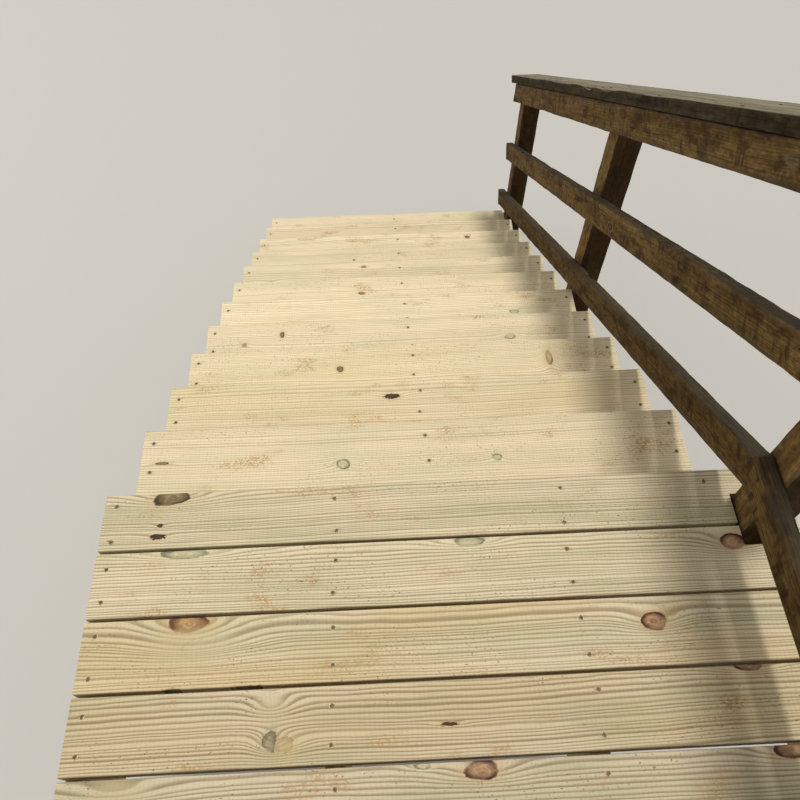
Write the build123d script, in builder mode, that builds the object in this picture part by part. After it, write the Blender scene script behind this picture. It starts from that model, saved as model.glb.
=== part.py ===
from build123d import *
import os
from math import atan2, cos, sin, tan

# Wooden deck stairs: a landing on posts, one straight flight of open treads on
# notched stringers, and a rail of flat boards along the right side.
# Millimetres. X runs across the stairs, Y down the flight and Z up. The origin
# is on the ground, under the middle of the whole structure.

# The flight
rise = 152.4
run = 234.95
tread_count = 11
tread_thickness = 38.1
tread_overhang = 6.0  # front edge of a tread past the stringer's plumb cut
tread_back_gap = 6.0  # drain gap behind each tread
tread_left_inset = 8.0  # the flight starts this far in from the landing's left edge
tread_post_gap = 2.0  # the treads stop this far short of the rail posts
head_gap = 48.0  # from the landing's header to the back edge of the top tread
stringer_thickness = 38.1
stringer_depth = 286.0
centre_stringer_shift = 31.0  # the middle stringer stands right of the middle

# The landing
landing_width = 1524.0
board_count = 8
board_width = 139.7
front_board_width = 131.0  # the front board is ripped narrower
board_gap = 6.5
board_thickness = 38.1
board_overhang = 28.0  # front edge of the front board past the header
frame_thickness = 38.1
joist_depth = 235.0
joist_count = 2
header_depth = 286.0
notch_gap = 4.0  # round a post that passes up through the boards
notch_back_gap = 28.0  # the cut was made long on the house side of a post

# The posts and rails
post_size = 88.9
foot_post_setback = 5.0  # from the foot of the flight back to the last post
rail_thickness = 38.1
rail_depth = 88.9
bottom_rail_lift = 47.0  # upright, from the line of the tread edges
mid_rail_gap = 233.0  # upright, clear space under the middle rail
top_rail_gap = 260.0  # upright, clear space under the top rail
bottom_rail_tail = 14.0  # past the last post, at the board's lower corner
mid_rail_tail = -30.0
top_rail_tail = -2.0
cap_thickness = 38.1
cap_overhang = 6.35  # past the rail on one side and the posts on the other
cap_tail = 66.0

# Planed lumber has slightly rounded long edges
edge_radius = 3.0

# Heights and slopes worked out from the sizes above
deck_top = rise * (tread_count + 1)
frame_top = deck_top - board_thickness
pitch = atan2(rise, run)
slope = rise / run
tread_depth = run + tread_overhang - tread_back_gap
landing_depth = front_board_width + (board_count - 1) * (board_width + board_gap)

# Places across the stairs
left_edge = -landing_width / 2
right_edge = landing_width / 2
post_outer_x = right_edge - frame_thickness
post_inner_x = post_outer_x - post_size
rail_inner_x = post_inner_x - rail_thickness
flight_left = left_edge + tread_left_inset
flight_right = post_inner_x
tread_right = flight_right - tread_post_gap

# Places along the stairs, first from the landing's front edge
header_from_edge = -board_overhang
first_nose_from_edge = header_from_edge + head_gap + tread_depth
foot_from_edge = first_nose_from_edge - tread_overhang + run * (tread_count - 1)
foot_post_end = foot_from_edge - foot_post_setback
overall_length = landing_depth + foot_post_end + cap_tail + cap_thickness * sin(pitch)
front_edge = landing_depth - overall_length / 2
back_edge = front_edge - landing_depth
header_face = front_edge + header_from_edge
header_back = header_face - frame_thickness
back_rim_front = back_edge + frame_thickness
first_nose = front_edge + first_nose_from_edge
foot_y = front_edge + foot_from_edge

# Post centres along Y
front_post_y = header_back - post_size / 2
back_post_y = back_rim_front + post_size / 2
foot_post_y = front_edge + foot_post_end - post_size / 2
middle_post_y = (front_post_y + foot_post_y) / 2

# The rails bend over the landing's front post, on a mitre that halves the angle
kink_y = front_post_y
mitre = tan(pitch / 2)
rail_rise = rail_depth / cos(pitch)
mid_rail_lift = bottom_rail_lift + rail_rise + mid_rail_gap
top_rail_lift = mid_rail_lift + rail_rise + top_rail_gap
cap_lift = top_rail_lift + rail_rise
cap_kink_y = kink_y + rail_depth * mitre

os.makedirs("parts", exist_ok=True)


def save(piece, name):
    """Label one finished piece and write its file."""
    piece.part.label = name
    export_step(piece.part, f"parts/{name}.step")


def nose_y(number):
    """Front edge of a tread, counted down from the landing."""
    return first_nose + run * (number - 1)


def seat_z(number):
    """Level cut that a tread lies on."""
    return deck_top - rise * number - tread_thickness


def line_z(y, lift):
    """Height of a line along the flight, lift above the line of tread edges."""
    return deck_top - slope * (y - (first_nose - run)) + lift


def cross_board(left, right, back, depth, bottom, thickness):
    """A board that runs across the stairs, with eased edges."""
    with BuildPart() as board:
        with BuildSketch(Plane.YZ.offset(left)):
            with Locations((back + depth / 2, bottom + thickness / 2)):
                RectangleRounded(depth, thickness, edge_radius)
        extrude(amount=right - left)
    return board


def long_board(back, front, left, thickness, bottom, depth):
    """A joist that runs along the stairs, on edge, with eased edges."""
    with BuildPart() as board:
        with BuildSketch(Plane.XZ.offset(-front)):
            with Locations((left + thickness / 2, bottom + depth / 2)):
                RectangleRounded(thickness, depth, edge_radius)
        extrude(amount=front - back)
    return board


def side_board(points, left, thickness):
    """A board seen from the side as an outline, with its long edges eased."""
    with BuildPart() as board:
        with BuildSketch(Plane.YZ.offset(left)):
            with BuildLine():
                Polyline(*points, close=True)
            make_face()
        extrude(amount=thickness)
        long_edges = board.edges().filter_by(lambda edge: edge.length > 2 * rail_depth)
        fillet(long_edges, radius=edge_radius)
    return board


def post(left, middle_y, top_points):
    """A square post from the ground, with its top cut to an outline."""
    near = middle_y - post_size / 2
    far = middle_y + post_size / 2
    with BuildPart() as piece:
        with BuildSketch(Plane.YZ.offset(left)):
            with BuildLine():
                Polyline((near, 0), *top_points, (far, 0), close=True)
            make_face()
        extrude(amount=post_size)
        uprights = piece.edges().filter_by(Axis.Z)
        fillet(uprights, radius=edge_radius)
    return piece


def sloped_outline(lift, depth, start_y, end_y, square_end):
    """Side outline of a board down the flight, mitred at its upper end."""
    start_z = line_z(start_y, lift)
    end_z = line_z(end_y, lift)
    if square_end:
        end_top = (end_y + depth * sin(pitch), end_z + depth * cos(pitch))
    else:
        end_top = (end_y, end_z + depth / cos(pitch))
    mitre_top = (start_y + depth * mitre, start_z + depth)
    return [(start_y, start_z), (end_y, end_z), end_top, mitre_top]


def level_outline(lift, depth, end_y):
    """Side outline of a board along the landing, mitred at its front end."""
    bottom = line_z(end_y, lift)
    return [
        (back_edge, bottom),
        (end_y, bottom),
        (end_y + depth * mitre, bottom + depth),
        (back_edge, bottom + depth),
    ]


# Stringers: each is one deep board, sawn to a level seat and a plumb cut for
# every tread, with its head plumb against the header and its foot on the ground
seat_tip_z = seat_z(1)
bottom_drop = stringer_depth / cos(pitch)


def bottom_edge_z(y):
    """Uncut lower edge of the stringer board."""
    return seat_tip_z - slope * (y - (first_nose - tread_overhang)) - bottom_drop


heel_y = foot_y - (bottom_drop - (seat_tip_z - rise * (tread_count - 1))) / slope
flight_middle = (flight_left + flight_right) / 2
stringer_left = {
    "stringer_left": flight_left,
    "stringer_centre": flight_middle + centre_stringer_shift - stringer_thickness / 2,
    "stringer_right": flight_right - stringer_thickness,
}
for name, left in stringer_left.items():
    with BuildPart() as stringer:
        with BuildSketch(Plane.YZ.offset(left)):
            with BuildLine():
                outline = [(header_face, seat_z(1))]
                for number in range(1, tread_count + 1):
                    plumb_y = nose_y(number) - tread_overhang
                    outline.append((plumb_y, seat_z(number)))
                    if number < tread_count:
                        outline.append((plumb_y, seat_z(number + 1)))
                outline += [(foot_y, 0), (heel_y, 0), (header_face, bottom_edge_z(header_face))]
                Polyline(*outline, close=True)
            make_face()
        extrude(amount=stringer_thickness)
    save(stringer, name)

# Treads: one wide board each
for number in range(1, tread_count + 1):
    tread_back = nose_y(number) - tread_depth
    tread = cross_board(
        flight_left, tread_right, tread_back, tread_depth, seat_z(number), tread_thickness
    )
    save(tread, f"tread_{number:02d}")

# Landing frame: a deep header that carries the stringers, a rim on three sides
# and joists between
header = cross_board(
    left_edge, right_edge, header_back, frame_thickness, frame_top - header_depth, header_depth
)
save(header, "landing_header")
back_rim = cross_board(
    left_edge, right_edge, back_edge, frame_thickness, frame_top - joist_depth, joist_depth
)
save(back_rim, "landing_back_rim")
joist_bottom = frame_top - joist_depth
joist_left = {
    "landing_left_rim": left_edge,
    "landing_right_rim": right_edge - frame_thickness,
}
joist_spacing = landing_width / (joist_count + 1)
for number in range(1, joist_count + 1):
    joist_left[f"landing_joist_{number}"] = left_edge + joist_spacing * number - frame_thickness / 2
for name, left in joist_left.items():
    joist = long_board(
        back_rim_front, header_back, left, frame_thickness, joist_bottom, joist_depth
    )
    save(joist, name)

# Landing boards, counted back from the front edge, cut round the two right posts
notch_left = post_inner_x - notch_gap
notch_width = post_size + 2 * notch_gap
back_board_front = back_edge + board_width + board_gap / 2
notch_spans = [
    (front_post_y - post_size / 2 - notch_back_gap, front_post_y + post_size / 2 + notch_gap),
    (back_post_y - post_size / 2 - notch_gap, back_board_front),
]
board_back = front_edge + board_gap
for number in range(1, board_count + 1):
    width = front_board_width if number == 1 else board_width
    board_back -= board_gap + width
    with BuildPart() as landing_board:
        with BuildSketch(Plane.YZ.offset(left_edge)):
            with Locations((board_back + width / 2, frame_top + board_thickness / 2)):
                RectangleRounded(width, board_thickness, edge_radius)
        extrude(amount=landing_width)
        with BuildSketch(Plane.XY.offset(frame_top)):
            for near, far in notch_spans:
                with Locations((notch_left, near)):
                    Rectangle(notch_width, far - near, align=(Align.MIN, Align.MIN))
        extrude(amount=board_thickness, mode=Mode.SUBTRACT)
    save(landing_board, f"landing_board_{number}")

# Posts under the landing's left side stop below its boards
left_post_x = left_edge + frame_thickness
left_posts = {"post_front_left": front_post_y, "post_back_left": back_post_y}
for name, post_y in left_posts.items():
    near = post_y - post_size / 2
    far = post_y + post_size / 2
    save(post(left_post_x, post_y, [(near, frame_top), (far, frame_top)]), name)

# Posts on the right side run up to the cap, with their tops sawn to its slope
level_top = line_z(kink_y, top_rail_lift) + rail_depth
right_posts = {
    "post_back_right": back_post_y,
    "post_front_right": front_post_y,
    "post_middle": middle_post_y,
    "post_foot": foot_post_y,
}
for name, post_y in right_posts.items():
    near = post_y - post_size / 2
    far = post_y + post_size / 2
    if far < cap_kink_y:
        top_points = [(near, level_top), (far, level_top)]
    elif near < cap_kink_y:
        top_points = [(near, level_top), (cap_kink_y, level_top), (far, line_z(far, cap_lift))]
    else:
        top_points = [(near, line_z(near, cap_lift)), (far, line_z(far, cap_lift))]
    save(post(post_inner_x, post_y, top_points), name)

# Rails: boards on edge, nailed to the stair side of the posts
last_post_end = foot_post_y + post_size / 2
rails = {
    "bottom_rail": (bottom_rail_lift, bottom_rail_tail, True),
    "middle_rail": (mid_rail_lift, mid_rail_tail, True),
    "top_rail": (top_rail_lift, top_rail_tail, False),
}
for name, (lift, tail, square_end) in rails.items():
    outline = sloped_outline(lift, rail_depth, kink_y, last_post_end + tail, square_end)
    save(side_board(outline, rail_inner_x, rail_thickness), f"stair_{name}")
    outline = level_outline(lift, rail_depth, kink_y)
    save(side_board(outline, rail_inner_x, rail_thickness), f"landing_{name}")

# Caps: wide boards laid flat over the top rail and the post tops
cap_left = rail_inner_x - cap_overhang
cap_width = rail_thickness + post_size + 2 * cap_overhang
outline = sloped_outline(cap_lift, cap_thickness, cap_kink_y, last_post_end + cap_tail, True)
save(side_board(outline, cap_left, cap_width), "stair_cap")
outline = level_outline(cap_lift, cap_thickness, cap_kink_y)
save(side_board(outline, cap_left, cap_width), "landing_cap")
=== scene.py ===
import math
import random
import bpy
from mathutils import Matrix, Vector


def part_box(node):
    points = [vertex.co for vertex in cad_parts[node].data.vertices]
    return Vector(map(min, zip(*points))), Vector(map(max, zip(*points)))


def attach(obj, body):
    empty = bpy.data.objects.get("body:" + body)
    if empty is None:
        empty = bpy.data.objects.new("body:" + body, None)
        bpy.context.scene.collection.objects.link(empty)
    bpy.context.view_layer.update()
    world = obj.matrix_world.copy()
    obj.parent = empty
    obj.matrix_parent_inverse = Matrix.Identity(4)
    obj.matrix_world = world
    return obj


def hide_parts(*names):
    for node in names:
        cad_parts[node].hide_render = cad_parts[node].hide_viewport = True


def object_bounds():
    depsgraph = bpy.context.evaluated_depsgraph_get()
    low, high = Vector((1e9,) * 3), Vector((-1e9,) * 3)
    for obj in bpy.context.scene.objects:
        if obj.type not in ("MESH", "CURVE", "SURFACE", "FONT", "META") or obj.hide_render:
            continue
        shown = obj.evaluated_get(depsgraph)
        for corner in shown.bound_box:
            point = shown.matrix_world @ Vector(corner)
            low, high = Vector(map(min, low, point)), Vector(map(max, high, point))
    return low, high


bl_info = {
    "name": "Wooden deck stairs",
    "version": (1, 0, 0),
    "blender": (4, 5, 0),
    "location": "3D View > Sidebar > Stairs",
    "description": "Dresses wooden deck stairs: grain, knots, weathering, worn rails, screws and bolts",
    "category": "Object",
}

from collections import namedtuple

import bmesh
import bpy
from mathutils import Matrix, Vector

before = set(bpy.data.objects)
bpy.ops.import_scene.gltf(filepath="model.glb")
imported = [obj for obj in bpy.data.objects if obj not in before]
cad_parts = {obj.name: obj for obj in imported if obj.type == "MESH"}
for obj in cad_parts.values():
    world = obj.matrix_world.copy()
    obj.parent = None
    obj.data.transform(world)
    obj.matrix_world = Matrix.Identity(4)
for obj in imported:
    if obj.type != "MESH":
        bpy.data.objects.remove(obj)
cad_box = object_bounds()

MM = 0.001
X, Y, Z = Vector((1, 0, 0)), Vector((0, 1, 0)), Vector((0, 0, 1))


def srgb(code):
    """Linear red, green, blue and alpha of a hex colour."""
    channels = [int(code[at : at + 2], 16) / 255 for at in (1, 3, 5)]
    return [c / 12.92 if c <= 0.04045 else ((c + 0.055) / 1.055) ** 2.4 for c in channels] + [1.0]


def middle(node):
    """Middle of a node's box, in metres."""
    low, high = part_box(node)
    return (low + high) / 2


# The slope of the flight, from two treads one step apart
STEP = middle("tread_02") - middle("tread_01")
PITCH = math.atan2(-STEP.z, STEP.y)
DOWN_FLIGHT = Vector((0, math.cos(PITCH), -math.sin(PITCH)))
OFF_FLIGHT = Vector((0, math.sin(PITCH), math.cos(PITCH)))

TREADS = sorted(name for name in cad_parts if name.startswith("tread"))
LANDING_BOARDS = sorted(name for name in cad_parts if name.startswith("landing_board"))
STRINGERS = ["stringer_left", "stringer_centre", "stringer_right"]
# What the landing boards lie on, from left to right
LANDING_BEARERS = ["landing_left_rim", "landing_joist_1", "landing_joist_2", "landing_right_rim"]
LEFT_POSTS = ["post_front_left", "post_back_left"]
FRAMING = STRINGERS + ["landing_header", "landing_back_rim"] + LANDING_BEARERS + LEFT_POSTS
OLD_POSTS = ["post_back_right", "post_front_right", "post_middle", "post_foot"]
OLD_RAILS = [f"{place}_{rail}_rail" for place in ("stair", "landing") for rail in ("bottom", "middle", "top")]


def lay(node):
    """How a board lies: along its grain, across its wide face, and out of that face."""
    if node in TREADS or node in LANDING_BOARDS:
        along, across = X, Y
    elif node in ("landing_header", "landing_back_rim"):
        along, across = X, Z
    elif node.startswith("post"):
        along, across = Z, Y
    elif node == "stair_cap":
        along, across = DOWN_FLIGHT, -X
    elif node == "landing_cap":
        along, across = Y, -X
    elif node in STRINGERS or node.startswith("stair"):
        along, across = DOWN_FLIGHT, OFF_FLIGHT
    else:
        along, across = Y, Z
    return Matrix((along, across, along.cross(across)))


def extent(node):
    """Middle of a board in the frame, and its half sizes along, across and through, in metres."""
    axes = lay(node)
    places = [axes @ vertex.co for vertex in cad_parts[node].data.vertices]
    low, high = Vector(map(min, *places)), Vector(map(max, *places))
    return axes.transposed() @ ((low + high) / 2), (high - low) / 2


# A knot's place is in millimetres from the middle of its board: along the grain and across it.
# Its tail says how much it narrows along the grain.
Knot = namedtuple("Knot", "along across length width kind tail", defaults=(0.0,))
# The pith is where the tree's centre lay: across the board, and below the middle of its thickness. The
# ring is a year's growth. All are in millimetres.
Figure = namedtuple("Figure", "pith_across pith_below ring knots")

FIGURES = {
    "landing_board_1": Figure(104, 40, 5.4, (
        Knot(-613, 55, 74, 36, "dead", 0.5),
        Knot(-634, -12, 13, 8, "hole"),
        Knot(-636, -38, 30, 12, "hole"),
    )),
    "landing_board_2": Figure(84, 44, 5.2, (
        Knot(-573, 62, 90, 24, "green"),
        Knot(607, 32, 52, 36, "red"),
        Knot(38, 60, 60, 22, "green"),
    )),
    "landing_board_3": Figure(88, 46, 6.0, (
        Knot(-546, 57, 74, 38, "sound", 0.35),
        Knot(400, 17, 50, 35, "red"),
        Knot(-535, 8, 110, 46, "bend"),
        Knot(-568, -71, 32, 6, "bark"),
        Knot(-431, -72, 58, 7, "bark"),
    )),
    "landing_board_4": Figure(98, 58, 6.0, (
        Knot(-346, -33, 36, 26, "tan"),
        Knot(-376, -26, 24, 32, "grey", -0.4),
        Knot(566, 70, 52, 22, "red"),
        Knot(-36, -11, 34, 7, "hole"),
        Knot(-374, 32, 40, 30, "bend"),
    )),
    "landing_board_5": Figure(92, 46, 6.6, (
        Knot(19, 54, 62, 32, "red"),
        Knot(599, 62, 56, 30, "red"),
        Knot(-650, 46, 76, 24, "bend"),
        Knot(-88, 66, 30, 12, "green"),
    )),
    "tread_01": Figure(-150, 70, 5.4, (
        Knot(-182, -3, 32, 28, "green"),
        Knot(209, -2, 26, 17, "green"),
        Knot(-640, 20, 34, 8, "dead"),
    )),
    "tread_02": Figure(150, 70, 5.8, (Knot(-50, 57, 40, 17, "hole"), Knot(520, -40, 24, 14, "pale"))),
    "tread_03": Figure(-136, 85, 5.4, (Knot(-210, 32, 20, 23, "dead"), Knot(470, 44, 22, 60, "ringed"))),
    "tread_04": Figure(-130, 60, 6.0, (
        Knot(-427, 63, 15, 26, "dead"),
        Knot(-560, 23, 21, 15, "pale"),
        Knot(388, 16, 40, 26, "green"),
    )),
    "tread_05": Figure(160, 80, 5.6, (Knot(450, 13, 34, 18, "green"),)),
    "tread_08": Figure(-150, 70, 5.8, (Knot(-191, 37, 12, 9, "dead"),)),
}

# How light a board is beside the others of its kind. For the old posts it is painted light that makes them
# lighter, and for the bottom rails painted shade that makes them darker
TONES_AND_PAINTED_LIGHT = {
    "landing_board_1": 1.02,
    "landing_board_2": 1.04,
    "landing_board_3": 1.00,
    "landing_board_4": 0.92,
    "landing_board_5": 0.87,
    "tread_01": 1.02,
    "tread_02": 1.02,
    "tread_03": 1.08,
    "tread_04": 1.04,
    "tread_05": 1.10,
    "tread_06": 1.08,
    "tread_07": 0.95,
    "tread_08": 1.00,
    "tread_09": 1.03,
    "tread_10": 0.96,
    "tread_11": 1.04,
    "post_front_right": 1.3,
    "post_middle": 1.3,
    "post_foot": 1.1,
    "stair_bottom_rail": 0.75,
    "landing_bottom_rail": 0.85,
}
# How much of a board's heart shows through in amber
AMBER = {"landing_board_3": 0.7, "landing_board_4": 0.4, "tread_02": 0.3, "tread_03": 0.2}


def figure_of(node):
    """The figure chosen for a board, or else one drawn for it from its name."""
    if node in FIGURES:
        return FIGURES[node]
    draw = random.Random(node)
    _, half = extent(node)
    knots = []
    for _ in range(draw.choice((1, 1, 2, 2, 3))):
        length = draw.uniform(16, 38)
        along = draw.uniform(-0.85, 0.85) * half.x / MM
        across = draw.uniform(-0.75, 0.75) * half.y / MM
        kind = draw.choice(("sound", "pale", "dead", "red"))
        knots.append(Knot(along, across, length, length * draw.uniform(0.5, 0.9), kind))
    side = draw.choice((-1, 1)) * (half.y / MM + draw.uniform(-25, 35))
    return Figure(side, draw.uniform(35, 85), draw.uniform(4.6, 6.6), tuple(knots))


# Where a rail's two nails stand at each post, along the rail and across it from the post's middle
RAIL_NAILS = {
    "landing": ((-12 * MM, 20 * MM), (-24 * MM, -21 * MM)),
    "stair": ((24 * MM, 19 * MM), (10 * MM, -21 * MM)),
}


def rail_nails(node):
    """The nails of a rail, as places along and across it from its middle, in metres."""
    if node not in OLD_RAILS:
        return []
    centre, _ = extent(node)
    along = lay(node)[0]
    posts = [(middle(post).y - centre.y) / along.y for post in OLD_POSTS]
    shifts = RAIL_NAILS[node.split("_")[0]]
    return [(post + shift_along, across) for post in posts for shift_along, across in shifts]


# Materials


# Makes a mask ease in and out between its two ends
SMOOTH = {"interpolation_type": "SMOOTHSTEP"}
# A Mix node's colour sockets by number, because its other sockets have the same names
FIRST_COLOUR, SECOND_COLOUR, MIXED_COLOUR = 6, 7, 2


def fill(tree, sockets, values):
    """Fill inputs, by name or in order, with values or with links from sockets or nodes."""
    for key, value in values.items() if isinstance(values, dict) else enumerate(values):
        if isinstance(value, bpy.types.Node):
            value = value.outputs[0]
        if isinstance(value, bpy.types.NodeSocket):
            tree.links.new(value, sockets[key])
        else:
            sockets[key].default_value = value


def add(tree, kind, inputs=(), operation=None, **settings):
    """Add a node, change its settings, and fill its inputs with values, nodes or sockets."""
    node = tree.nodes.new(f"ShaderNode{kind}")
    if operation:
        node.operation = operation
    for name, value in settings.items():
        setattr(node, name, value)
    fill(tree, node.inputs, inputs)
    return node


def blank(library, name):
    """A new material or world with an empty node tree."""
    made = library.new(name)
    made.use_nodes = True
    made.node_tree.nodes.clear()
    return made


def new_group(name, inputs, outputs):
    """An empty node group with its sockets."""
    tree = bpy.data.node_groups.new(name, "ShaderNodeTree")
    for way, sockets in (("INPUT", inputs), ("OUTPUT", outputs)):
        for label in sockets:
            kind = "NodeSocketVector" if label in ("Grain", "Place", "Reach", "Down") else "NodeSocketFloat"
            tree.interface.new_socket(name=label, in_out=way, socket_type=kind)
    return tree, tree.nodes.new("NodeGroupInput").outputs, tree.nodes.new("NodeGroupOutput").inputs


def shared(make):
    """A node group that many boards use, made when the first of them asks for it."""
    return bpy.data.node_groups.get(make.__name__.replace("_", " ")) or make()


def grain_noise(tree, grain, sizes, seed, detail, roughness):
    """Noise in patches whose sizes are in millimetres along, across and through. A seed moves it."""
    at = add(tree, "VectorMath", [grain, [1 / size for size in sizes]], "MULTIPLY")
    values = {"Vector": at, "Scale": 1.0, "Detail": detail, "Roughness": roughness}
    if seed is None:
        return add(tree, "TexNoise", values, noise_dimensions="3D")
    return add(tree, "TexNoise", values | {"W": seed}, noise_dimensions="4D")


def growth_rings():
    """Group: the growth rings of a sawn board, as shells round a pith that wanders along the grain."""
    inputs = ("Grain", "Seed", "Pith across", "Pith below", "Ring width", "Swelling")
    tree, given, made = new_group("growth rings", inputs, ("Latewood", "Fibre", "Drift"))
    grain, seed = given["Grain"], given["Seed"]
    drift = grain_noise(tree, grain, (900, 190, 190), seed, detail=1.5, roughness=0.4)
    wave = grain_noise(tree, grain, (120, 30, 30), seed, detail=2.0, roughness=0.5)
    place = add(tree, "SeparateXYZ", [grain]).outputs
    from_pith = add(tree, "Math", [place["Y"], given["Pith across"]], "SUBTRACT")
    over_pith = add(tree, "Math", [place["Z"], given["Pith below"]], "ADD")
    spoke = add(tree, "CombineXYZ", {"X": 0.0, "Y": from_pith, "Z": over_pith})
    radius = add(tree, "VectorMath", [spoke], "LENGTH").outputs["Value"]

    # A shell strays by up to 34 mm over the board and 5 mm over a hand's breadth, and gives way to knots
    drifted = add(tree, "Math", [drift, 34.0, radius], "MULTIPLY_ADD")
    waved = add(tree, "Math", [wave, 5.0, drifted], "MULTIPLY_ADD")
    round_knots = add(tree, "Math", [waved, given["Swelling"]], "SUBTRACT")
    years = add(tree, "Math", [round_knots, given["Ring width"]], "DIVIDE")

    # Years differ in width, and each has a random tone of its own
    season_at = add(tree, "Math", [years, 0.31, seed], "MULTIPLY_ADD")
    season_values = {"W": season_at, "Scale": 1.0, "Detail": 1.0, "Roughness": 0.5}
    season = add(tree, "TexNoise", season_values, noise_dimensions="1D")
    uneven = add(tree, "Math", [season, 1.6, years], "MULTIPLY_ADD")
    part = add(tree, "Math", [uneven], "FRACT")
    year = add(tree, "Math", [uneven, seed], "ADD")
    year_number = add(tree, "Math", [year, part], "SUBTRACT")
    tone = add(tree, "TexWhiteNoise", {"W": year_number}, noise_dimensions="1D").outputs["Value"]

    # Through a year the wood darkens slowly, and ends its summer band sharply
    begins = add(tree, "Math", [tone, -0.22, 0.42], "MULTIPLY_ADD")
    darkens = add(tree, "MapRange", [part, begins, 0.78], **SMOOTH)
    ends = add(tree, "MapRange", [part, 0.84, 1.0, 1.0, 0.0], **SMOOTH)
    band = add(tree, "Math", [darkens, ends], "MULTIPLY")
    depth = add(tree, "Math", [tone, 0.35, 0.65], "MULTIPLY_ADD")
    deep_band = add(tree, "Math", [band, depth], "MULTIPLY")

    # Over the pith the saw runs along a shell, so that the bands are broad and faint there
    sideways = add(tree, "Math", [from_pith], "ABSOLUTE")
    slant = add(tree, "Math", [sideways, radius], "DIVIDE")
    crossing = add(tree, "MapRange", [slant, 0.05, 0.5, 0.3], **SMOOTH)
    latewood = add(tree, "Math", [deep_band, crossing], "MULTIPLY")
    fibre = grain_noise(tree, grain, (55, 1.3, 1.3), None, detail=2.0, roughness=0.6)
    fill(tree, made, {"Latewood": latewood, "Fibre": fibre, "Drift": drift})
    return tree


def branch_knot():
    """Group: one knot. The rings swell out round it, and it has its own small rings and a rim."""
    inputs = ("Grain", "Place", "Reach", "Tail", "Ragged", "Seed")
    outputs = ("Swelling", "Heart", "Rim", "Whorl", "Mottle", "Halo")
    tree, given, made = new_group("branch knot", inputs, outputs)
    offset = add(tree, "VectorMath", [given["Grain"], given["Place"]], "SUBTRACT")
    flat = add(tree, "VectorMath", [offset, given["Reach"]], "DIVIDE")
    lopsided, ragged, blotched = (
        add(tree, "TexNoise", {"Vector": flat, "W": given["Seed"]} | pattern, noise_dimensions="4D")
        for pattern in (
            {"Scale": 0.6, "Detail": 0.0},
            {"Scale": 2.4, "Detail": 2.5, "Roughness": 0.65},
            {"Scale": 1.1, "Detail": 2.0, "Roughness": 0.6},
        )
    )

    # How far a point is from the knot's middle, where 1 is its outline, an uneven egg
    spot = add(tree, "SeparateXYZ", [flat]).outputs
    taper = add(tree, "Math", [spot["X"], given["Tail"], 1.0], "MULTIPLY_ADD")
    taper = add(tree, "Math", [taper, 0.4], "MAXIMUM")
    narrowed = add(tree, "Math", [spot["Y"], taper], "MULTIPLY")
    egg = add(tree, "CombineXYZ", {"X": spot["X"], "Y": narrowed, "Z": spot["Z"]})
    straight = add(tree, "VectorMath", [egg], "LENGTH").outputs["Value"]
    away = add(tree, "Math", [lopsided, 0.6, straight], "MULTIPLY_ADD")
    torn = add(tree, "Math", [ragged, 0.5], "SUBTRACT")
    away = add(tree, "Math", [torn, given["Ragged"], away], "MULTIPLY_ADD")
    away = add(tree, "Math", [away, 0.3], "SUBTRACT")

    # The rings bend round the knot in a bell that is longer along the grain
    drawn_out = add(tree, "VectorMath", [flat, (0.40, 0.66, 0.0)], "MULTIPLY")
    reach = add(tree, "VectorMath", [drawn_out], "LENGTH").outputs["Value"]
    squared = add(tree, "Math", [reach, 2.0], "POWER")
    fading = add(tree, "Math", [squared, -1.0], "MULTIPLY")
    swelling = add(tree, "Math", [fading], "EXPONENT")

    # Masks at their distances: the heart, the two sides of its rim, and the stain round it
    heart, inner, outer, mottle, halo = (
        add(tree, "MapRange", [value, low, high], **SMOOTH)
        for value, low, high in (
            (away, 1.08, 0.92),
            (away, 0.50, 0.92),
            (away, 1.12, 1.02),
            (blotched, 0.42, 0.60),
            (away, 2.3, 0.9),
        )
    )
    line = add(tree, "Math", [inner, outer], "MULTIPLY")
    gaps = add(tree, "MapRange", [lopsided, 0.66, 0.40, 0.3], **SMOOTH)
    rim = add(tree, "Math", [line, gaps], "MULTIPLY")
    # Its own small rings, as a wave over the distance that wanders a little
    turns = add(tree, "Math", [away, 16.0], "MULTIPLY")
    wander = add(tree, "Math", [ragged, 9.0, turns], "MULTIPLY_ADD")
    ripple = add(tree, "Math", [wander], "SINE")
    whorl = add(tree, "Math", [ripple, 0.5, 0.5], "MULTIPLY_ADD")
    fill(tree, made, dict(zip(outputs, (swelling, heart, rim, whorl, mottle, halo))))
    return tree


def drying_checks():
    """Group: long thin cracks that open along the grain of old wood."""
    tree, given, made = new_group("drying checks", ("Grain", "Seed", "Amount"), ("Crack",))
    # A crack runs along the line on which noise crosses its middle value
    lines = grain_noise(tree, given["Grain"], (210, 7, 7), given["Seed"], detail=2.5, roughness=0.55)
    ridge = add(tree, "Math", [lines, 0.5], "SUBTRACT")
    narrow = add(tree, "Math", [ridge], "ABSOLUTE")
    line = add(tree, "MapRange", [narrow, 0.014, 0.004], **SMOOTH)
    # The noise seldom reaches the least value at which wood is cracked, which the amount lowers
    where = grain_noise(tree, given["Grain"], (260, 24, 24), given["Seed"], detail=1.0, roughness=0.5)
    least = add(tree, "Math", [0.78, given["Amount"]], "SUBTRACT")
    most = add(tree, "Math", [least, 0.08], "ADD")
    here = add(tree, "MapRange", [where, least, most], **SMOOTH)
    fill(tree, made, {"Crack": add(tree, "Math", [line, here], "MULTIPLY")})
    return tree


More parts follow.
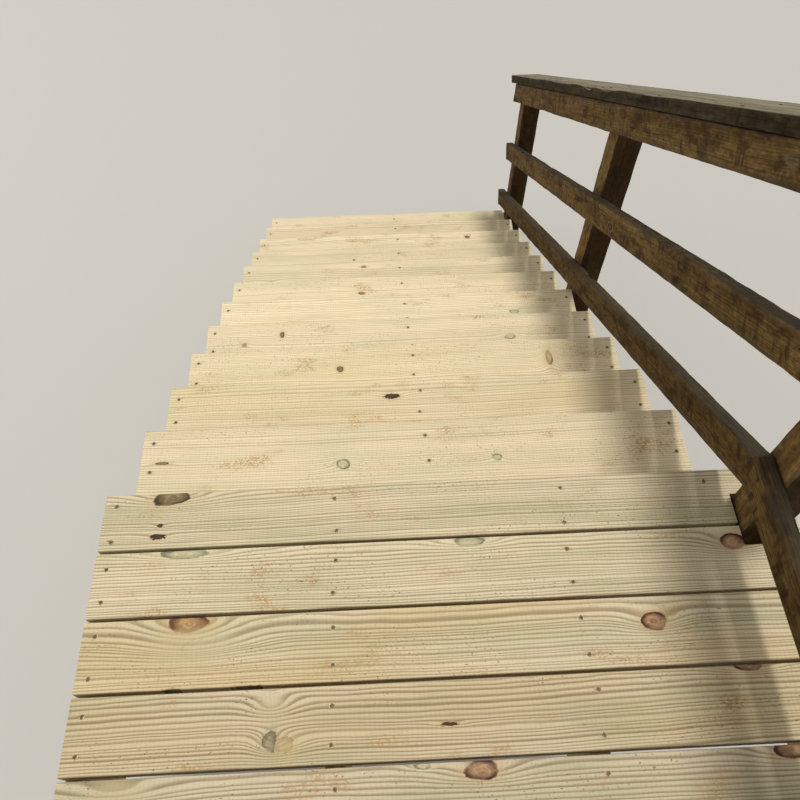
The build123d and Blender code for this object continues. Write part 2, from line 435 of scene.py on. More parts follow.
def nail_stain():
    """Group: the dark streak, some 45 mm long, that rain washes down from an iron nail."""
    tree, given, made = new_group("nail stain", ("Grain", "Place", "Down", "Seed"), ("Stain",))
    offset = add(tree, "VectorMath", [given["Grain"], given["Place"]], "SUBTRACT")
    level = add(tree, "VectorMath", [given["Down"], (0.0, 0.0, 1.0)], "CROSS_PRODUCT")
    below, beside = (
        add(tree, "VectorMath", [offset, way], "DOT_PRODUCT").outputs["Value"]
        for way in (given["Down"], level)
    )
    # In millimetres: a ragged half width, a start just over the nail, and the streak's length below it
    lumps = {"Vector": given["Grain"], "W": given["Seed"], "Scale": 0.16, "Detail": 3.0, "Roughness": 0.6}
    ragged = add(tree, "TexNoise", lumps, noise_dimensions="4D")
    distance = add(tree, "Math", [beside], "ABSOLUTE")
    distance = add(tree, "Math", [ragged, 12.0, distance], "MULTIPLY_ADD")
    narrow, starts, fades = (
        add(tree, "MapRange", [value, low, high], **SMOOTH)
        for value, low, high in ((distance, 12.5, 6.5), (below, -8.0, -2.0), (below, 45.0, 0.0))
    )
    streak = add(tree, "Math", [starts, fades], "MULTIPLY")
    fill(tree, made, {"Stain": add(tree, "Math", [streak, narrow], "MULTIPLY")})
    return tree


# Each kind of knot: its heart, the line round it, how strong that line is, the stain round it, how much of
# the board's own grain it hides, how strong its own small rings are, and how ragged its outline is
KnotLook = namedtuple("KnotLook", "heart rim line stain cover whorl ragged")
KNOTS = {
    "sound": KnotLook("#BE945F", "#633D26", 0.95, "#CBAA74", 0.92, 0.35, 0.25),
    "red": KnotLook("#B88F68", "#482515", 1.0, "#BFA274", 0.92, 0.35, 0.3),
    "dead": KnotLook("#957E56", "#3F2E1B", 0.95, "#C6AE7C", 0.92, 0.45, 0.4),
    "ringed": KnotLook("#C8A878", "#5C3524", 0.85, "#CDB283", 0.6, 0.35, 0.4),
    # A hole's dark heart and rim are painted shade, for the inside of a hole that is not modelled
    "hole": KnotLook("#41301F", "#1A120C", 1.0, "#C8A874", 0.95, 0.6, 2.4),
    "bark": KnotLook("#75613F", "#463723", 0.7, "#B9A074", 0.8, 0.5, 2.6),
    "pale": KnotLook("#B59B6C", "#5C563E", 0.25, "#C2AC7E", 0.75, 0.7, 1.4),
    "grey": KnotLook("#A09170", "#4A4031", 0.55, "#B3A27C", 0.6, 0.7, 1.0),
    "tan": KnotLook("#C09E66", "#8C6E42", 0.45, "#C8B080", 0.35, 0.7, 1.4),
    "green": KnotLook("#CDBF94", "#6E6A50", 0.85, "#CFC8A0", 0.5, 0.55, 0.9),
    # Grain that bends round a knot which lies under the surface
    "bend": KnotLook("#CDBB8E", "#B9A67A", 0.0, "#C4B388", 0.0, 0.0, 0.0),
}


class Wood:
    """A board's material while it is being put together: its node tree and what is known so far."""

    def __init__(self, node, name):
        self.material = blank(bpy.data.materials, f"{name} {node}")
        self.tree = self.material.node_tree
        self.seed = random.Random(node).uniform(0, 60)
        self.axes = lay(node)
        self.centre, self.half = extent(node)
        self.start(figure_of(node))

    def start(self, figure):
        """Grain coordinates in millimetres, the knots, and the rings that flow round them."""
        tree = self.tree
        here = add(tree, "TexCoord").outputs
        self.facing = here["Normal"]
        turn = self.axes.transposed().to_euler()
        board = {"Vector": here["Object"], "Location": self.centre, "Rotation": turn, "Scale": (MM, MM, MM)}
        self.grain = add(tree, "Mapping", board, vector_type="TEXTURE")
        right_through = 1e6
        swelling = 0.0
        self.knots = []
        for number, knot in enumerate(figure.knots):
            values = {
                "Grain": self.grain,
                "Place": (knot.along, knot.across, 0.0),
                "Reach": (knot.length / 2, knot.width / 2, right_through),
                "Tail": knot.tail,
                "Ragged": KNOTS[knot.kind].ragged,
                "Seed": self.seed + number,
            }
            made = add(tree, "Group", values, node_tree=shared(branch_knot)).outputs
            self.knots.append((knot, made))
            # How far in millimetres the rings make way: more for a wider knot
            push = 2.0 + 0.36 * knot.width
            swelling = add(tree, "Math", [made["Swelling"], push, swelling], "MULTIPLY_ADD")
        values = {
            "Grain": self.grain,
            "Seed": self.seed,
            "Pith across": figure.pith_across,
            "Pith below": figure.pith_below,
            "Ring width": figure.ring,
            "Swelling": swelling,
        }
        self.rings = add(tree, "Group", values, node_tree=shared(growth_rings)).outputs

    def patches(self, sizes, low, high, detail=3.0, seed=0.0):
        """A soft-edged mask of blotches. The sizes are in millimetres along, across and through."""
        noise = grain_noise(self.tree, self.grain, sizes, self.seed + seed, detail, 0.55)
        return add(self.tree, "MapRange", [noise, low, high], **SMOOTH)

    def facing_mask(self, direction, low, high, both_ways=False):
        """Where the surface faces a direction, or either way along it."""
        facing = add(self.tree, "VectorMath", [self.facing, direction], "DOT_PRODUCT")
        facing = facing.outputs["Value"]
        if both_ways:
            facing = add(self.tree, "Math", [facing], "ABSOLUTE")
        return add(self.tree, "MapRange", [facing, low, high], **SMOOTH)

    def ends(self):
        """Where the board is sawn across its grain."""
        return self.facing_mask(self.axes[0], 0.7, 0.9, both_ways=True)

    def knife_marks(self):
        """The faint scallops that a planer's turning knives leave across a board."""
        millimetres_apart = 9.0
        along = add(self.tree, "SeparateXYZ", [self.grain]).outputs["X"]
        turns = add(self.tree, "Math", [along, 2 * math.pi / millimetres_apart], "MULTIPLY")
        wander = self.patches((60, 80, 80), 0.3, 0.7, detail=1.0, seed=41.0)
        turns = add(self.tree, "Math", [wander, 5.0, turns], "MULTIPLY_ADD")
        wave = add(self.tree, "Math", [turns], "SINE")
        return add(self.tree, "Math", [wave, 0.5, 0.5], "MULTIPLY_ADD")

    def long_edges(self, reach):
        """Two masks that meet where a long corner of the board is nearer than a reach in millimetres."""
        place = add(self.tree, "SeparateXYZ", [self.grain]).outputs
        masks = []
        for axis, half in (("Y", self.half.y / MM), ("Z", self.half.z / MM)):
            out = add(self.tree, "Math", [place[axis]], "ABSOLUTE")
            masks.append(add(self.tree, "MapRange", [out, half - 2.2 * reach, half - 0.6 * reach], **SMOOTH))
        return masks

    def tint(self, colour, other, mask, *limits):
        """Mix another colour into one where the mask says, as far as further masks or amounts let it."""
        for limit in limits:
            mask = add(self.tree, "Math", [mask, limit], "MULTIPLY")
        values = {"Factor": mask, FIRST_COLOUR: colour, SECOND_COLOUR: other}
        return add(self.tree, "Mix", values, data_type="RGBA").outputs[MIXED_COLOUR]

    def shade(self, colour, value, dark, light):
        """Scale a colour by a value from 0 to 1, from dark to light."""
        by = add(self.tree, "MapRange", {"Value": value, "To Min": dark, "To Max": light})
        return add(self.tree, "VectorMath", {0: colour, "Scale": by}, "SCALE").outputs[0]

    def with_knots(self, colour, darker=1.0):
        """Stain, heart, small rings and rim of each knot over the board's own colour."""
        for knot, made in self.knots:
            look = KNOTS[knot.kind]
            heart, rim, stain = (scaled(code, darker) for code in (look.heart, look.rim, look.stain))
            colour = self.tint(colour, stain, made["Halo"], 0.5)
            inside = self.tint(heart, rim, made["Whorl"], look.whorl)
            inside = self.tint(inside, rim, made["Mottle"], 0.45)
            colour = self.tint(colour, inside, made["Heart"], look.cover)
            colour = self.tint(colour, rim, made["Rim"], look.line)
        return colour

    def finish(self, colour, roughness, relief, sheen):
        """The shader of a dry, open surface. Roughness is a mask and its two ends, relief is masks and
        how high each stands in millimetres."""
        mask, at_none, at_full = roughness
        roughness = add(self.tree, "MapRange", {"Value": mask, "To Min": at_none, "To Max": at_full})
        height = 0.0
        for mask, millimetres in relief:
            height = add(self.tree, "Math", [mask, millimetres, height], "MULTIPLY_ADD")
        bump = add(self.tree, "Bump", {"Height": height, "Strength": 1.0, "Distance": MM})
        values = {"Base Color": colour, "Roughness": roughness, "Specular IOR Level": sheen, "Normal": bump}
        surface = add(self.tree, "BsdfPrincipled", values | {"IOR": 1.45})
        add(self.tree, "OutputMaterial", {"Surface": surface})
        return self.material


def scaled(code, factor):
    """A hex colour made darker or lighter."""
    red, green, blue, alpha = srgb(code)
    return red * factor, green * factor, blue * factor, alpha


def planed_pine(node, look, name):
    """Treated pine from the planer: pale spring wood, tan summer wood, a green cast, amber heart and dust."""
    wood = Wood(node, name)
    rings = wood.rings
    landing = node in LANDING_BOARDS
    green_cast = 0.75 if landing else 0.5
    ring_strength = look.landing_rings if landing else look.ring_strength
    fibre_contrast = 1.4 if landing else 1.0
    tone = TONES_AND_PAINTED_LIGHT.get(node) or random.Random(node + " tone").uniform(0.96, 1.05)
    tone *= look.landing_shade if landing else 1.0
    colour = wood.tint(look.earlywood, look.green, wood.patches((420, 60, 60), 0.40, 0.66), green_cast)
    if node in AMBER:
        heart = wood.patches((520, 110, 110), 0.26, 0.66, detail=1.0, seed=54.0)
        colour = wood.tint(colour, look.amber, heart, AMBER[node])
    colour = wood.tint(colour, look.latewood, rings["Latewood"], ring_strength)
    dark, light = (1 - 0.15 * fibre_contrast) * tone, (1 + 0.12 * fibre_contrast) * tone
    colour = wood.shade(colour, rings["Fibre"], dark, light)
    colour = wood.shade(colour, rings["Drift"], 0.94, 1.05)
    colour = wood.with_knots(colour)
    knife_marks = wood.knife_marks()
    colour = wood.shade(colour, knife_marks, 0.975, 1.02)
    crumbs = wood.patches((5, 4, 4), 0.40, 0.62, detail=2.0, seed=10.0)
    trodden = wood.patches((130, 60, 60), 0.56, 0.70, detail=4.0, seed=9.0)
    colour = wood.tint(colour, look.dust, crumbs, look.dustiness, trodden)
    specks = wood.patches((5, 3.2, 3.2), 0.655, 0.70, detail=1.0, seed=21.0)
    dirty = wood.patches((200, 100, 100), 0.44, 0.58, detail=2.0, seed=30.0)
    colour = wood.tint(colour, look.grime, specks, dirty, 0.75)
    colour = wood.tint(colour, look.end_grain, wood.ends(), 0.55)
    relief = ((rings["Latewood"], 0.35), (rings["Fibre"], 0.16), (knife_marks, 0.05))
    return wood.finish(colour, (rings["Latewood"], 0.74, 0.58), relief, sheen=0.3)


def weathered_pine(node, look, name):
    """Old pine left in the weather: brown where sheltered, silver on top, cracked along the grain. It also
    holds painted light: the old posts made lighter with painted shade on their faces toward -Y, the bottom
    rails darker as painted shade, and on the rails and posts a dark silver that is partly painted shade on
    the upper faces.
    """
    wood = Wood(node, name)
    rings = wood.rings
    # On the old posts this tone is painted light, and on the bottom rails painted shade
    tone = TONES_AND_PAINTED_LIGHT.get(node, 1.0)
    colour = wood.tint(look.brown, look.honey, wood.patches((420, 42, 42), 0.38, 0.64), 0.8)
    colour = wood.tint(colour, look.honey, wood.patches((50, 34, 34), 0.46, 0.66, seed=8.0), 0.75)
    colour = wood.tint(colour, look.dark, rings["Latewood"], 0.36)
    colour = wood.shade(colour, rings["Fibre"], 0.70 * tone, 1.24 * tone)
    colour = wood.shade(colour, wood.patches((18, 9, 9), 0.36, 0.62, seed=19.0), 0.76, 1.2)
    streaks = wood.patches((340, 4, 4), 0.46, 0.66, seed=11.0)
    colour = wood.tint(colour, look.dark, streaks, 0.35)
    rain_marks = wood.patches((15, 55, 55), 0.46, 0.68, detail=2.0, seed=5.0)
    rained_on = wood.patches((130, 60, 60), 0.47, 0.62, detail=1.0, seed=6.0)
    colour = wood.tint(colour, look.dark, rain_marks, rained_on, 0.75)
    damp_blotches = wood.patches((70, 34, 34), 0.50, 0.64, seed=23.0)
    colour = wood.tint(colour, look.dark, damp_blotches, 0.6)
    # Painted shade: the old posts' faces toward -Y are darkened, as if in shade
    if node in OLD_POSTS:
        colour = wood.tint(colour, look.dark, wood.facing_mask(-Y, 0.5, 0.9), 0.8)
    colour = wood.with_knots(colour, 0.45)
    down = wood.axes @ -Z
    for number, (along, across) in enumerate(rail_nails(node)):
        nail = (along / MM, across / MM, 0.0)
        values = {"Grain": wood.grain, "Place": nail, "Down": down, "Seed": wood.seed + number}
        stain = add(wood.tree, "Group", values, node_tree=shared(nail_stain))
        colour = wood.tint(colour, look.crack, stain, 0.62)
    # On the old rails and posts the silver is a dark grey: partly weathering, partly painted shade on their
    # upper faces
    upward = wood.facing_mask(Z, 0.35, 0.85)
    colour = wood.tint(colour, look.silver, upward, look.greying)
    bleached = wood.patches((300, 8, 8), 0.34, 0.60, detail=4.0, seed=14.0)
    colour = wood.tint(colour, look.silver, upward, bleached, look.bleaching)
    rubbed = wood.patches((90, 30, 30), 0.40, 0.62, seed=17.0)
    colour = wood.tint(colour, look.silver, *wood.long_edges(9.0), rubbed, look.rubbing)
    values = {"Grain": wood.grain, "Seed": wood.seed, "Amount": look.cracking}
    crack = add(wood.tree, "Group", values, node_tree=shared(drying_checks))
    colour = wood.tint(colour, look.crack, crack, 0.9)
    colour = wood.tint(colour, look.end_grain, wood.ends(), 0.6)
    relief = ((rings["Latewood"], 0.45), (rings["Fibre"], 0.45), (crack, -1.6))
    return wood.finish(colour, (rings["Fibre"], 0.94, 0.78), relief, sheen=0.12)


def fastener_steel(look):
    """Steel screws in a tan coating close to the wood, worn dark by the driver in small patches."""
    return mottled("tan-coated steel", look.screw, look.screw_worn, size=3.0, roughness=0.5, metallic=0.15)


def rusty_steel(look):
    """Old bright nails gone to rust: dry, rough and blotchy."""
    return mottled("rusted nail steel", look.rust, look.rust_dark, size=2.0, roughness=0.85, metallic=0.15)


def galvanised_steel(look):
    """Hot-dipped bolts: a dull grey zinc skin with soft-edged patches of lighter crystals."""
    return mottled(
        "hot-dip galvanised steel", look.zinc, look.zinc_light, size=6.0, roughness=0.5, metallic=0.75
    )


def torn_pine(look):
    """Fibres that a screw tore up: pale raw wood with brown tips."""
    return mottled("torn pine fibre", look.torn, look.torn_dark, size=2.5, roughness=0.9, metallic=0.0)


def mottled(name, colour, other, size, roughness, metallic):
    """A material of two colours in blotches, whose size is in millimetres."""
    material = bpy.data.materials.get(name)
    if material:
        return material
    material = blank(bpy.data.materials, name)
    tree = material.node_tree
    here = add(tree, "TexCoord").outputs["Object"]
    noise = add(tree, "TexNoise", {"Vector": here, "Scale": 1 / (size * MM), "Detail": 3.0, "Roughness": 0.6})
    spread = add(tree, "MapRange", [noise, 0.38, 0.64], **SMOOTH)
    values = {"Factor": spread, FIRST_COLOUR: colour, SECOND_COLOUR: other}
    mixed = add(tree, "Mix", values, data_type="RGBA").outputs[MIXED_COLOUR]
    relief = add(tree, "Bump", {"Height": noise, "Strength": 0.5, "Distance": 0.3 * MM})
    values = {"Base Color": mixed, "Roughness": roughness, "Metallic": metallic, "Normal": relief}
    add(tree, "OutputMaterial", {"Surface": add(tree, "BsdfPrincipled", values)})
    return material


def dress(node, material):
    """Give one CAD board its material."""
    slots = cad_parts[node].data.materials
    slots.clear()
    slots.append(material)


# Modelling


def deselect():
    """Leave no object selected."""
    bpy.ops.object.select_all(action="DESELECT")


def take(piece):
    """Select one piece alone, and make it the active one."""
    deselect()
    bpy.context.view_layer.objects.active = piece
    piece.select_set(True)


def edit(piece):
    """Open a piece in edit mode with nothing selected."""
    take(piece)
    bpy.ops.object.mode_set(mode="EDIT")
    bpy.ops.mesh.select_mode(type="FACE")
    bpy.ops.mesh.select_all(action="DESELECT")


def done(piece):
    """Leave edit mode."""
    bmesh.update_edit_mesh(piece.data)
    bpy.ops.object.mode_set(mode="OBJECT")


def choose(piece, wanted, kind="faces"):
    """Select only the faces, edges or verts that pass a test."""
    bpy.ops.mesh.select_all(action="DESELECT")
    bpy.ops.mesh.select_mode(type={"faces": "FACE", "edges": "EDGE", "verts": "VERT"}[kind])
    mesh = bmesh.from_edit_mesh(piece.data)
    for element in getattr(mesh, kind):
        element.select_set(wanted(element))
    mesh.select_flush_mode()
    bmesh.update_edit_mesh(piece.data)


def apply_place(piece):
    """Put the piece's place and turn into its mesh."""
    take(piece)
    bpy.ops.object.transform_apply(location=True, rotation=True, scale=True)


def apply_modifier(piece, kind, **settings):
    """Add a modifier, set it up and apply it."""
    modifier = piece.modifiers.new(kind.title(), kind)
    for name, value in settings.items():
        setattr(modifier, name, value)
    bpy.context.view_layer.objects.active = piece
    bpy.ops.object.modifier_apply(modifier=modifier.name)


def smooth(piece, degrees=40):
    """Shade a piece smooth, except at edges sharper than an angle."""
    take(piece)
    bpy.ops.object.shade_smooth_by_angle(angle=math.radians(degrees))


def spread_copies(template, places, name):
    """Copy a small piece to each place, facing outward, and join the copies."""
    deselect()
    for place, outward, spin in places:
        copy = template.copy()
        copy.data = template.data.copy()
        turn = outward.to_track_quat("Z", "Y").to_matrix().to_4x4() @ Matrix.Rotation(spin, 4, "Z")
        copy.matrix_world = Matrix.Translation(place) @ turn
        bpy.context.scene.collection.objects.link(copy)
        copy.select_set(True)
    bpy.context.view_layer.objects.active = copy
    bpy.ops.object.join()
    piece = bpy.context.active_object
    piece.name = name
    apply_place(piece)
    bpy.data.objects.remove(template)
    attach(piece, "root")
    return piece


# A hollow worn or broken out of a long edge: its place along the board and its length and depth in
# millimetres, and which edge it is on, as the signs of across and through
Hollow = namedtuple("Hollow", "along length depth across through")
HOLLOWS = {
    "bottom_rail": (Hollow(-290, 60, 9, 1, 1), Hollow(-1300, 160, 6, 1, -1)),
    "middle_rail": (Hollow(640, 90, 5, 1, 1), Hollow(-900, 140, 5, 1, -1)),
    "top_rail": (Hollow(900, 120, 4, -1, -1),),
    "stair_cap": (
        Hollow(560, 240, 9, 1, 1),
        Hollow(180, 130, 16, 1, 1),
        Hollow(-40, 170, 11, 1, 1),
        Hollow(-420, 220, 7, 1, 1),
        Hollow(1100, 150, 5, 1, 1),
    ),
    "landing_cap": (Hollow(200, 180, 7, 1, 1),),
}


def worn_board(node, ease, weather, hollows=(), cuts=()):
    """Model an old board in place of its CAD node: eased and uneven edges, hollows, and its end cuts."""
    axes = lay(node)
    centre, half = extent(node)
    deselect()
    turn = axes.transposed().to_euler()
    bpy.ops.mesh.primitive_cube_add(size=2, location=centre, rotation=turn, scale=half)
    piece = bpy.context.active_object
    piece.name = f"worn_{node}"
    apply_place(piece)
    along, across, _ = axes
    nearly = 0.99
    ring_spacing, most_rings = 30 * MM, 100

    def follows(edge, way):
        start, end = edge.verts
        return abs((start.co - end.co).normalized().dot(way)) > nearly

    def on_corner(edge):
        spots = [axes @ (vertex.co - centre) for vertex in edge.verts]
        return all(abs(spot.y) > nearly * half.y and abs(spot.z) > nearly * half.z for spot in spots)

    edit(piece)
    choose(piece, lambda edge: follows(edge, along), "edges")
    bpy.ops.mesh.subdivide(number_cuts=min(most_rings, round(2 * half.x / ring_spacing)))
    if nearly * half.y > half.z:
        choose(piece, lambda edge: follows(edge, across), "edges")
        bpy.ops.mesh.subdivide(number_cuts=3)
    choose(piece, lambda edge: follows(edge, along) and on_corner(edge), "edges")
    bpy.ops.mesh.bevel(offset=ease, segments=3, profile=0.5, affect="EDGES")
    done(piece)

    everywhere = piece.vertex_groups.new(name="weather")
    worn = piece.vertex_groups.new(name="hollows")
    deepest = max([hollow.depth for hollow in hollows], default=0.0)
    for vertex in piece.data.vertices:
        spot = axes @ (vertex.co - centre)
        if abs(spot.x) < half.x - MM:
            everywhere.add([vertex.index], 1.0, "REPLACE")
        # A hollow fades out over its own length, and a little over its depth from its edge
        weight = 0.0
        for hollow in hollows:
            out = Vector((hollow.across * half.y - spot.y, hollow.through * half.z - spot.z)).length
            near = math.exp(-((spot.x / MM - hollow.along) / (0.5 * hollow.length)) ** 2)
            reach = math.exp(-((out / MM) / (1.3 * hollow.depth)) ** 2)
            weight += near * reach * hollow.depth / deepest
        if weight > 0.001:
            worn.add([vertex.index], min(weight, 1.0), "REPLACE")
    lumps = bpy.data.textures.new("weather", "CLOUDS")
    lumps.noise_scale = 70 * MM
    lumps.noise_depth = 3
    uneven = {"texture": lumps, "texture_coords": "LOCAL", "vertex_group": "weather"}
    apply_modifier(piece, "DISPLACE", strength=weather, mid_level=1.0, **uneven)
    if hollows:
        apply_modifier(piece, "DISPLACE", vertex_group="hollows", strength=-deepest * MM, mid_level=0.0)

    edit(piece)
    for point, normal in cuts:
        bpy.ops.mesh.select_all(action="SELECT")
        bpy.ops.mesh.bisect(plane_co=point, plane_no=normal, use_fill=True, clear_outer=True)
    done(piece)
    smooth(piece)
    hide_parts(node)
    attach(piece, "root")
    return piece


def mitre(rail):
    """The plane in which a level board and the sloped one meet, as a point and the way down the flight."""
    low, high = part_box(f"landing_{rail}")
    depth = high.z - low.z
    corner = Vector((0, high.y - depth * math.tan(PITCH / 2), low.z))
    return corner, (Y + DOWN_FLIGHT).normalized()


def start_piece(primitive, material, **place):
    """Add a primitive with its first material, ready to be shaped."""
    deselect()
    getattr(bpy.ops.mesh, f"primitive_{primitive}_add")(**place)
    piece = bpy.context.active_object
    piece.data.materials.append(material)
    return piece


def disc(material, vertices, radius, depth, height):
    """A cylinder or prism across the Z axis, with its middle at a height."""
    place = {"vertices": vertices, "radius": radius, "depth": depth, "location": (0, 0, height)}
    piece = start_piece("cylinder", material, **place)
    apply_place(piece)
    return piece


def join(pieces):
    """Join pieces into the first of them."""
    deselect()
    for piece in pieces:
        piece.select_set(True)
    bpy.context.view_layer.objects.active = pieces[0]
    bpy.ops.object.join()
    return pieces[0]


def scored_head(radius, thickness, proud, recess, metal, shadow):
    """A screw's flat head: chamfered, with a six-lobed socket that is half as wide and painted dark as shade.
    """
    head = disc(metal, 24, radius, thickness, proud - thickness / 2)
    head.data.materials.append(shadow)
    socket = 0.52 * radius

    def between_lobes(point):
        return point.co.xy.length < socket and math.cos(6 * math.atan2(point.co.y, point.co.x)) < 0

    def in_socket(face):
        return face.normal.z > 0.9 and max(point.co.xy.length for point in face.verts) < socket

    # The rim slopes, and the socket's outline is drawn in between its lobes before it is sunk
    edit(head)
    choose(head, lambda face: face.normal.z > 0.9)
    bpy.ops.mesh.inset(thickness=0.12 * radius)
    bpy.ops.transform.translate(value=(0, 0, 0.06 * radius))
    bpy.ops.mesh.inset(thickness=0.38 * radius)
    choose(head, between_lobes, "verts")
    bpy.ops.transform.resize(value=(0.72, 0.72, 1), center_override=(0, 0, 0))
    choose(head, in_socket)
    bpy.ops.mesh.extrude_region_move(TRANSFORM_OT_translate={"value": (0, 0, -recess)})
    # The socket's faces take the second material, painted dark as the shade inside the socket
    for face in bmesh.from_edit_mesh(head.data).faces:
        if face.select:
            face.material_index = 1
    done(head)
    smooth(head, 30)
    return head


def torn_collar(radius, height, seed, wood):
    """A ragged ring of fibres that lifted round a screw, with a few long splinters along the grain."""
    draw = random.Random(seed)
    nearly_flat = math.radians(84)
    ring = {"major_radius": radius, "minor_radius": height, "major_segments": 22, "minor_segments": 5}
    parts = [start_piece("torus", wood, **ring)]
    for _ in range(4):
        length = draw.uniform(1.0, 2.2) * radius
        side = draw.choice((-1, 1))
        # Its thick end stays in the ring
        splinter = start_piece(
            "cone",
            wood,
            vertices=5,
            radius1=draw.uniform(0.5, 0.9) * height,
            radius2=0.0,
            depth=length,
            location=(side * (radius + length / 2.4), draw.uniform(-0.8, 0.8) * radius, 0.5 * height),
            rotation=(0, side * nearly_flat, draw.uniform(-0.3, 0.3)),
        )
        parts.append(splinter)
    collar = join(parts)
    apply_place(collar)
    tufts = bpy.data.textures.new("torn fibres", "CLOUDS")
    tufts.noise_scale = 0.5 * radius
    ragged = {"texture": tufts, "texture_coords": "LOCAL"}
    apply_modifier(collar, "DISPLACE", strength=1.6 * height, mid_level=0.5, **ragged)
    smooth(collar, 50)
    return collar


def nail_head(radius, thickness, proud, metal):
    """A nail's round head, its rim rolled over and its middle dented by the hammer."""
    head = disc(metal, 18, radius, thickness, proud - thickness / 2)
    edit(head)
    choose(head, lambda edge: all(point.co.z > proud * 0.9 for point in edge.verts), "edges")
    bpy.ops.mesh.bevel(offset=0.16 * radius, segments=2, affect="EDGES")
    choose(head, lambda face: face.normal.z > 0.99)
    bpy.ops.mesh.inset(thickness=0.3 * radius)
    bpy.ops.transform.translate(value=(0, 0, -0.12 * radius))
    done(head)
    smooth(head, 50)
    return head


def bolt_dome(radius, metal):
    """The low round head of a carriage bolt."""
    dome = start_piece("uv_sphere", metal, segments=28, ring_count=14, radius=radius)
    edit(dome)
    bpy.ops.mesh.select_all(action="SELECT")
    bpy.ops.transform.resize(value=(1, 1, 0.46), center_override=(0, 0, 0))
    bpy.ops.mesh.bisect(plane_co=(0, 0, -0.05 * radius), plane_no=(0, 0, 1), use_fill=True, clear_inner=True)
    done(dome)
    smooth(dome, 50)
    return dome


def nut_and_washer(bolt, metal):
    """The other end of a bolt: a round washer, a chamfered hexagon nut, and the bolt's cut end."""
    parts = []
    # Each part's corners, and its radius, lower and upper end and chamfer in radii of the bolt
    for corners, radius, low, high, chamfer in (
        (32, 2.9, -0.1, 0.45, 0.12),
        (6, 1.95, 0.4, 2.1, 0.2),
        (20, 1.0, 2.0, 2.9, 0.22),
    ):
        part = disc(metal, corners, radius * bolt, (high - low) * bolt, (high + low) / 2 * bolt)
        edit(part)
        just_under_top = (high - 0.01) * bolt
        choose(part, lambda edge: all(end.co.z > just_under_top for end in edge.verts), "edges")
        bpy.ops.mesh.bevel(offset=chamfer * bolt, segments=2, affect="EDGES")
        done(part)
        parts.append(part)
    nut = join(parts)
    smooth(nut, 30)
    return nut


def meet(piece, start, towards):
    """Where a line from outside first meets a piece, or nothing."""
    hit, place, _, _ = piece.ray_cast(start, towards)
    return place if hit else None


# Settings that a user would change


def colour_setting(name, description, code):
    """A colour, with its default as a hex code."""
    limits = {"min": 0.0, "max": 1.0, "size": 4, "subtype": "COLOR"}
    return bpy.props.FloatVectorProperty(name=name, description=description, default=srgb(code), **limits)


def amount_setting(name, description, default, most=1.0):
    """A share or a strength, from nothing upwards."""
    return bpy.props.FloatProperty(name=name, description=description, default=default, min=0.0, max=most)


def length_setting(name, description, default):
    """A length in metres."""
    return bpy.props.FloatProperty(name=name, description=description, default=default, unit="LENGTH")


class NewPineLook(bpy.types.PropertyGroup):
    """Finish of the new treated boards."""

    earlywood: colour_setting("Earlywood", "Pale wood that grew in spring", "#E8D6B1")
    latewood: colour_setting("Latewood", "Harder, darker wood that grew in summer", "#866C42")
    green: colour_setting("Green cast", "Tint that the treatment leaves", "#CCC69C")
    amber: colour_setting("Amber", "Heartwood that shows through", "#DEC18A")
    dust: colour_setting("Dust", "Dried soil walked onto the boards", "#AC8146")
    grime: colour_setting("Grime", "Small dark specks", "#4C3A26")
    end_grain: colour_setting("End grain", "Sawn ends of the boards", "#B49C6C")
    ring_strength: amount_setting("Ring strength", "How dark the summer wood is", 0.5)
    landing_rings: amount_setting("Landing rings", "How dark their summer wood is", 0.74)
    landing_shade: amount_setting("Landing shade", "Their lightness beside the treads", 0.88)
    dustiness: amount_setting("Dustiness", "How much soil lies on the boards", 0.8)


class FramingPineLook(bpy.types.PropertyGroup):
    """Finish of the boards under the landing and the flight."""

    earlywood: colour_setting("Earlywood", "Pale wood that grew in spring", "#C6B184")
    latewood: colour_setting("Latewood", "Harder, darker wood that grew in summer", "#94794C")
    green: colour_setting("Green cast", "Tint that the treatment leaves", "#B3AA78")
    dust: colour_setting("Dust", "Dried soil splashed up from the ground", "#9A7850")
    grime: colour_setting("Grime", "Small dark specks", "#4A3A28")
    end_grain: colour_setting("End grain", "Sawn ends of the boards", "#A08858")
    ring_strength: amount_setting("Ring strength", "How dark the summer wood is", 0.6)
    dustiness: amount_setting("Dustiness", "How much soil lies on the boards", 0.7)


class OldPineLook(bpy.types.PropertyGroup):
    """Finish of the old posts and rails."""

    brown: colour_setting("Brown", "Main colour of the old wood", "#654D2A")
    # Dark also paints the shade on the old posts' faces toward -Y
    dark: colour_setting("Dark", "Summer wood and damp blotches", "#302010")
    honey: colour_setting("Honey", "Streaks that have kept their colour", "#846A40")
    # This silver is darker than the brown: partly bleached wood, partly painted shade on the upper faces
    silver: colour_setting("Silver", "Wood bleached by the sun", "#4C473D")
    crack: colour_setting("Crack", "Inside of the drying cracks", "#1C140D")
    end_grain: colour_setting("End grain", "Sawn ends of the boards", "#453622")
    bleaching: amount_setting("Bleaching", "How silver the streaks on the upper faces are", 0.8)
    greying: amount_setting("Greying", "How silver the upper faces are between the streaks", 0.0)
    rubbing: amount_setting("Rubbing", "How pale the long edges are rubbed", 0.45)
    cracking: amount_setting("Cracking", "How much of the wood is cracked", 0.24, most=0.5)


